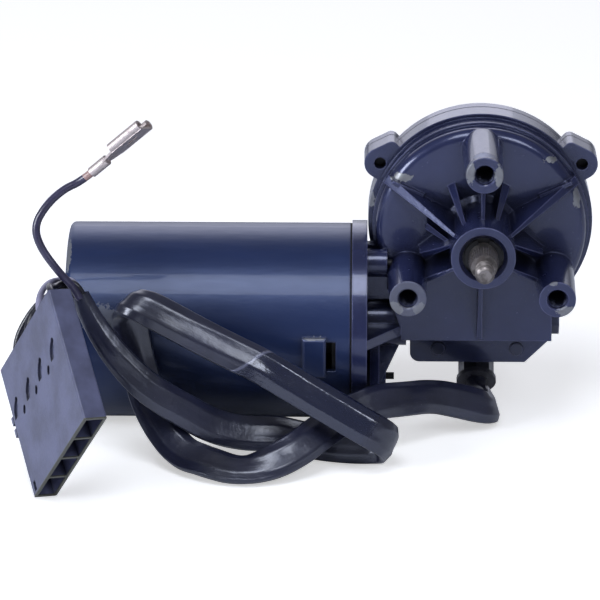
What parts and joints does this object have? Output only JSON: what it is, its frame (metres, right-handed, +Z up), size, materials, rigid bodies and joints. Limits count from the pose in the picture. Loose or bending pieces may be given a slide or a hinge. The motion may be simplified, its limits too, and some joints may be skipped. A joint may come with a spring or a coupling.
{
  "type": "wiper motor",
  "caption": "Electric motor in a round steel can on a gear housing with bolt posts; a worm and wheel turn a threaded output shaft, and a sleeved cable ends in a flat plug and an earth tag.",
  "frame": {"origin": "on the output shaft's axis, in the plane of the three post ends that bolt to the vehicle", "axes": "-Y along the output shaft towards its free end, -X along the motor towards its closed end, +Z up across the gear housing, away from the motor"},
  "size_m": [0.209, 0.1516, 0.1256],
  "materials": {
    "casting": "die-cast aluminium under glossy navy paint",
    "can_steel": "drawn steel under glossy navy paint",
    "steel": "plain or zinc-plated steel",
    "dark_steel": "blackened or oiled steel",
    "ferrite": "dull grey ferrite",
    "bronze": "sintered bronze",
    "copper": "enamelled copper wire and copper bars",
    "contact_brass": "spring brass, tinned where it is crimped",
    "carbon": "pressed carbon",
    "gear_nylon": "moulded nylon",
    "black_plastic": "moulded black plastic",
    "gasket": "pressed fibre sheet",
    "rubber": "black rubber",
    "sleeve_vinyl": "soft black-blue vinyl",
    "wire_vinyl": "vinyl wire insulation",
    "plug_nylon": "moulded grey-blue nylon"
  },
  "bodies": {
    "casing": {"gear_housing": "casting", "gear_cover": "casting", "motor_can": "can_steel", "can_gasket": "gasket", "cover_gasket": "gasket", "through_bolts": "dark_steel", "field_magnets": "ferrite", "rear_bush": "bronze", "front_bush": "bronze", "tail_bush": "bronze", "thrust_screw": "steel", "thrust_nut": "steel", "brush_plate": "black_plastic", "brushes": "carbon", "brush_springs": "steel", "shaft_bushes": "bronze", "neck_seal": "rubber", "shaft_washer": "steel", "thrust_washer": "black_plastic", "cover_screws": "steel", "contact_board": "black_plastic", "park_contacts": "contact_brass", "terminal_box": "black_plastic", "cover_rivets": "steel", "cable_boot": "rubber", "harness_sleeve": "sleeve_vinyl", "plug_leads": "wire_vinyl", "plug_housing": "plug_nylon", "plug_terminals": "contact_brass", "earth_wire": "wire_vinyl", "earth_terminal": "contact_brass"},
    "output_shaft": {"drive_shaft": "steel", "worm_wheel": "gear_nylon", "park_disc": "contact_brass", "shaft_clip": "steel"},
    "armature": {"armature_shaft": "steel", "armature_core": "dark_steel", "armature_coils": "copper", "commutator": "copper"}
  },
  "joints": [
    {"name": "output_turn", "type": "hinge", "parent": "casing", "child": "output_shaft", "pos_m": [0, 0.041, 0], "axis": [0, 1, 0], "continuous": true},
    {"name": "armature_turn", "type": "hinge", "parent": "casing", "child": "armature", "pos_m": [0, 0.041, -0.0375], "axis": [1, 0, 0], "continuous": true}
  ],
  "couplings": [
    {"joint": "armature_turn", "follows": "output_turn", "ratio": 67}
  ]
}
